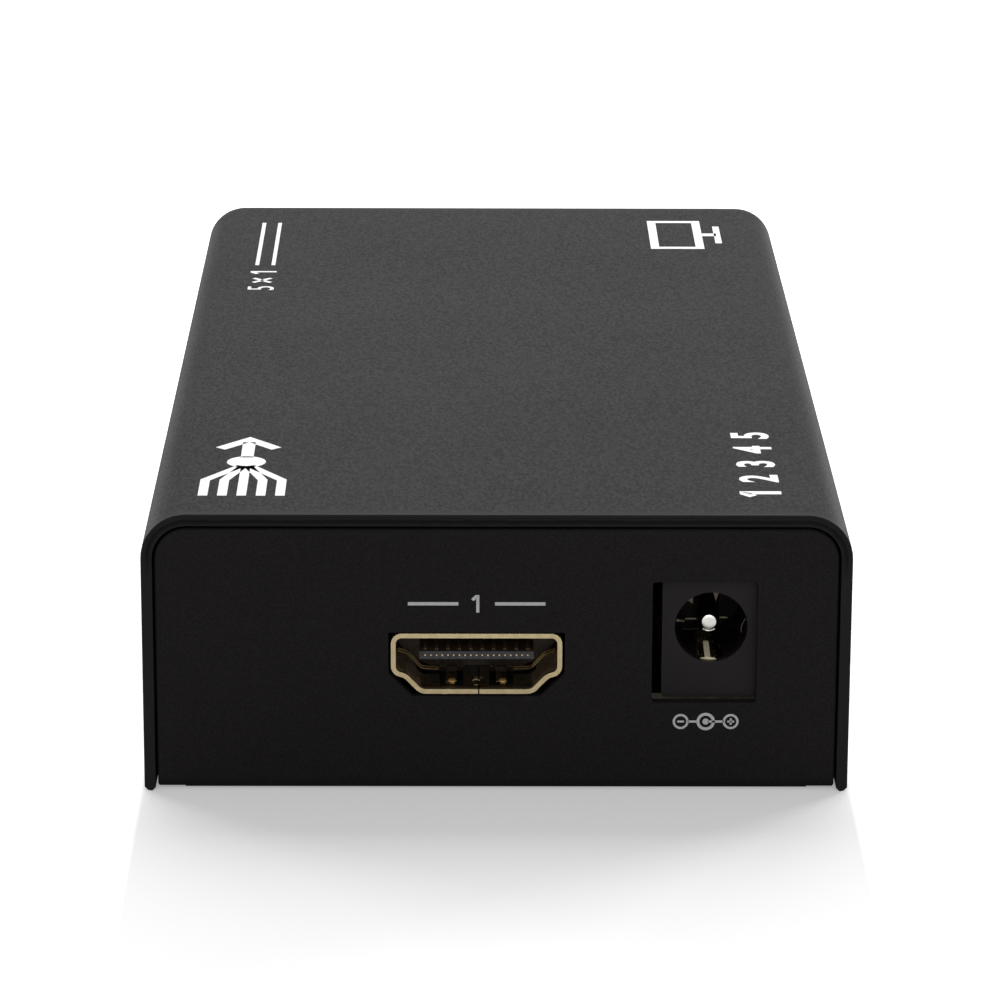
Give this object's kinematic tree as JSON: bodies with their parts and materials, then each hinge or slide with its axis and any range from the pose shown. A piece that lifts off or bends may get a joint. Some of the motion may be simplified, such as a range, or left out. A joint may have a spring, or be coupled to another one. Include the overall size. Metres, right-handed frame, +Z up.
{
  "type": "video switch box",
  "caption": "Flat black sheet-metal switch box with gold-rimmed video sockets on one end and one long side, a round power inlet, lamps, remote window and select button.",
  "frame": {"origin": "middle of the base's underside, in the plane it stands on", "axes": "+X towards the side with lamps and select button, +Y along the length away from the power inlet, +Z up"},
  "size_m": [0.0628, 0.116, 0.0254],
  "materials": {
    "cover_coat": "fine-grained black coat on 1 mm sheet steel",
    "chassis_coat": "smooth dull black coat on 1 mm sheet steel",
    "black_screw": "blackened steel",
    "nickel_steel": "bright nickel plate",
    "pillar_brass": "nickel-plated brass",
    "solder_mask": "green mask on glass-fibre board",
    "black_moulding": "black heat-proof moulding",
    "spring_brass": "plated spring bronze",
    "chip_epoxy": "moulded epoxy",
    "tinned_lead": "tinned copper",
    "ferrite": "pressed ferrite",
    "can_aluminium": "drawn aluminium can",
    "can_steel": "drawn steel can",
    "ceramic_chip": "fired ceramic",
    "sensor_moulding": "dark epoxy that passes infrared",
    "dark_window": "smoked acrylic",
    "button_moulding": "satin moulding",
    "lamp_lens": "water-clear epoxy",
    "gold_plate": "gold flash over nickel on folded sheet",
    "socket_moulding": "dark grey heat-proof moulding",
    "contact_gold": "gold-plated bronze"
  },
  "bodies": {
    "box": {"cover": "cover_coat", "chassis": "chassis_coat", "cover_screws": "black_screw", "board_screws": "nickel_steel", "board_pillars": "pillar_brass", "board": "solder_mask", "jack_housing": "black_moulding", "jack_pin": "nickel_steel", "jack_pin_terminal": "nickel_steel", "jack_sleeve_spring": "spring_brass", "jack_switch_terminal": "nickel_steel", "switch_chip": "chip_epoxy", "switch_chip_leads": "tinned_lead", "controller_chip": "chip_epoxy", "controller_leads": "tinned_lead", "regulator": "chip_epoxy", "regulator_leads": "tinned_lead", "power_inductor": "ferrite", "input_capacitor": "can_aluminium", "output_capacitor": "can_aluminium", "capacitor_bases": "black_moulding", "crystal": "can_steel", "surge_arrays": "chip_epoxy", "chip_parts": "ceramic_chip", "remote_sensor": "sensor_moulding", "remote_sensor_leads": "tinned_lead", "remote_window": "dark_window", "lamp_holder": "black_moulding", "lamp_leads": "tinned_lead", "select_switch": "black_moulding", "select_switch_legs": "tinned_lead", "lamp_1": "lamp_lens", "lamp_2": "lamp_lens", "lamp_3": "lamp_lens", "lamp_4": "lamp_lens", "lamp_5": "lamp_lens", "input_1_shell": "gold_plate", "input_1_insulator": "socket_moulding", "input_1_contacts": "contact_gold", "input_2_shell": "gold_plate", "input_2_insulator": "socket_moulding", "input_2_contacts": "contact_gold", "input_3_shell": "gold_plate", "input_3_insulator": "socket_moulding", "input_3_contacts": "contact_gold", "input_4_shell": "gold_plate", "input_4_insulator": "socket_moulding", "input_4_contacts": "contact_gold", "input_5_shell": "gold_plate", "input_5_insulator": "socket_moulding", "input_5_contacts": "contact_gold", "output_shell": "gold_plate", "output_insulator": "socket_moulding", "output_contacts": "contact_gold"},
    "select_key": {"select_button": "button_moulding", "select_plunger": "black_moulding"}
  },
  "joints": [
    {"name": "select_press", "type": "slide", "parent": "box", "child": "select_key", "axis": [-1, 0, 0], "range_m": [0, 0.0003], "stiffness_N_per_m": 1000, "springref_m": -0.0005}
  ]
}
